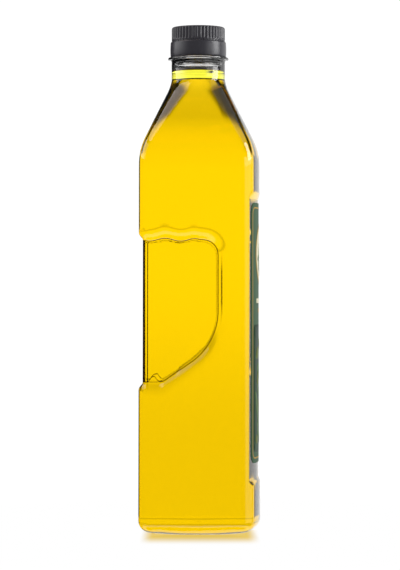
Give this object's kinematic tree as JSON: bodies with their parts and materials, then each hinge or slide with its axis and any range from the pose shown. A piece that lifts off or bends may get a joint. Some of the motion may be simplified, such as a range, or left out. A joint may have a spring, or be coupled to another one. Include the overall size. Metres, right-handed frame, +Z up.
{
  "type": "olive oil bottle",
  "caption": "Clear square plastic bottle full of golden olive oil, with a dark ribbed screw cap, a grip sunk into its back and a green label on a curved front panel.",
  "frame": {"origin": "middle of the base, at the height of the surface the bottle stands on; the axis of the neck lies 0.85 mm behind it", "axes": "+Z up, +X towards the labelled front, -X towards the grip at the back"},
  "size_m": [0.0692, 0.0666, 0.288],
  "materials": {
    "clear_plastic": "clear blown plastic, glossy",
    "oil": "clear golden oil",
    "cap_plastic": "charcoal moulded plastic, fine ribs, satin",
    "band_plastic": "charcoal moulded plastic, smooth, satin gloss",
    "label": "printed dark green film label, soft gloss"
  },
  "bodies": {
    "root": {"bottle": "clear_plastic", "oil": "oil", "cap": "cap_plastic", "tamper_band": "band_plastic", "front_label": "label"}
  },
  "joints": []
}
